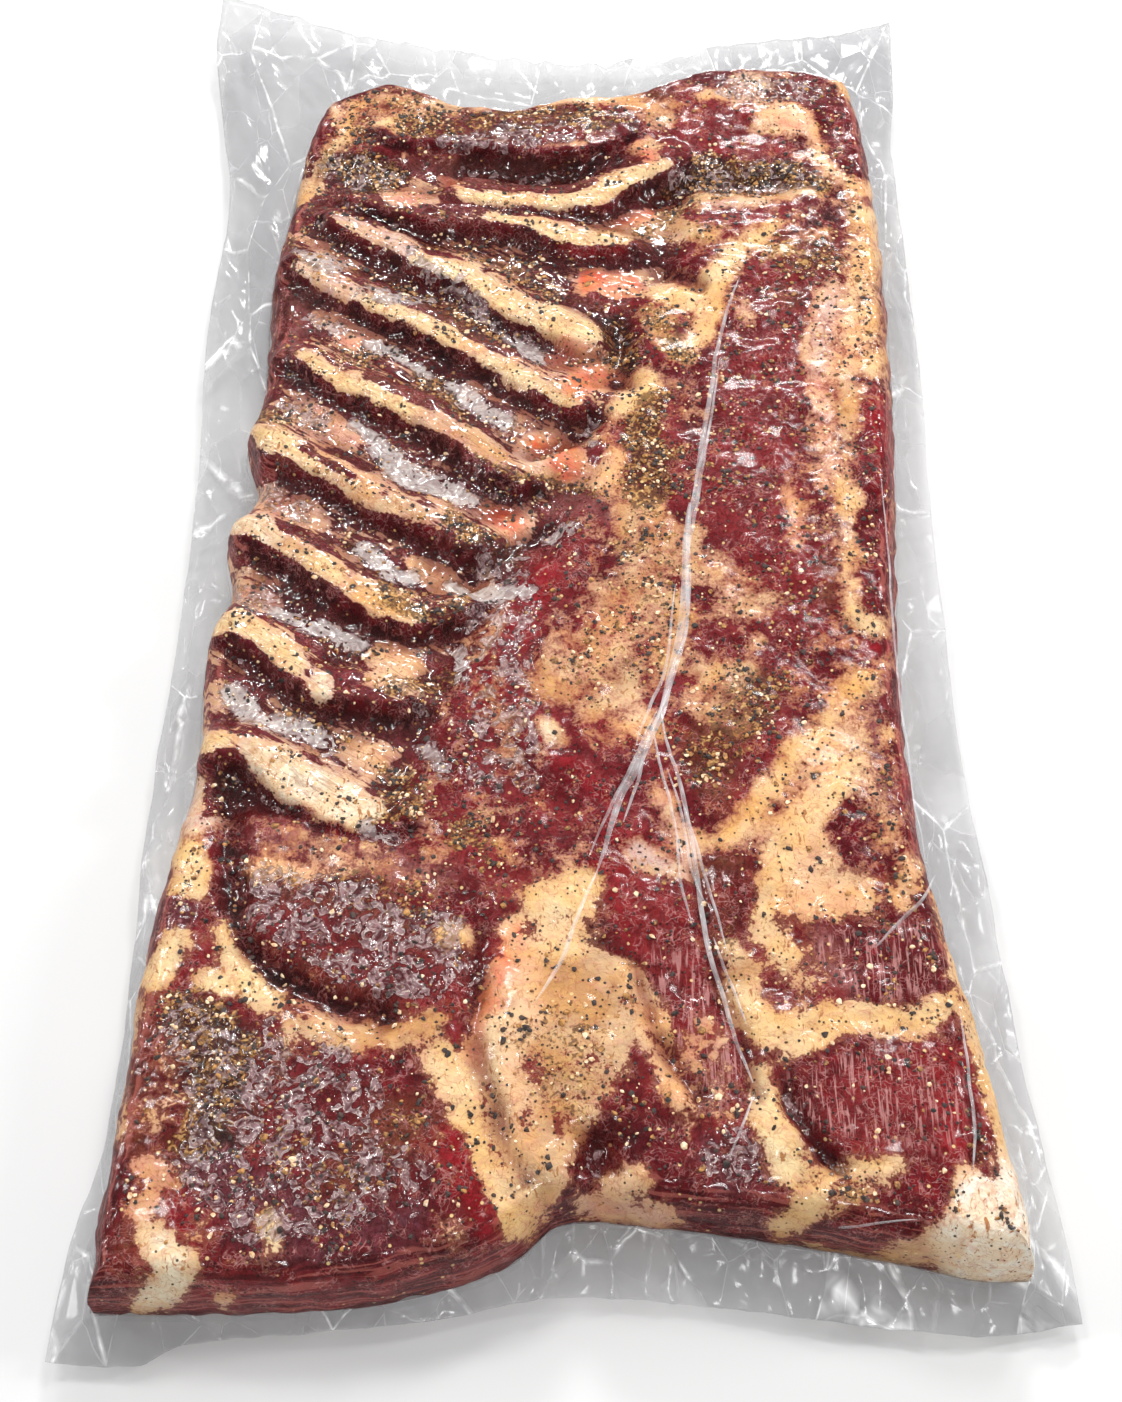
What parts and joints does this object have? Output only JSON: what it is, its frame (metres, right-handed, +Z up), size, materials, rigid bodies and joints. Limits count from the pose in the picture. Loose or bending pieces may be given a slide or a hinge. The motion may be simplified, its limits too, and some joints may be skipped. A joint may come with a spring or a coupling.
{
  "type": "cured pancetta slab",
  "caption": "Whole flat slab of peppered cured pork belly, rib side up, vacuum-sealed in a clear pouch with a thin welded margin all round.",
  "frame": {"origin": "centre of the pack's bounding box, on the surface it lies on", "axes": "+X across the slab, +Y along it away from the thick end, +Z up out of the rib side"},
  "size_m": [0.2988, 0.5832, 0.036],
  "materials": {
    "cured_meat": "dark red cured muscle with cream and golden fat, moist",
    "pouch_film": "clear wrinkled vacuum film, glossy",
    "black_pepper": "cracked black pepper, dull",
    "brown_spice": "brown spice crumbs, dull",
    "pale_spice": "cracked cream and golden spice bits, dull"
  },
  "bodies": {
    "root": {"sealed_pancetta": "cured_meat"}
  },
  "joints": []
}
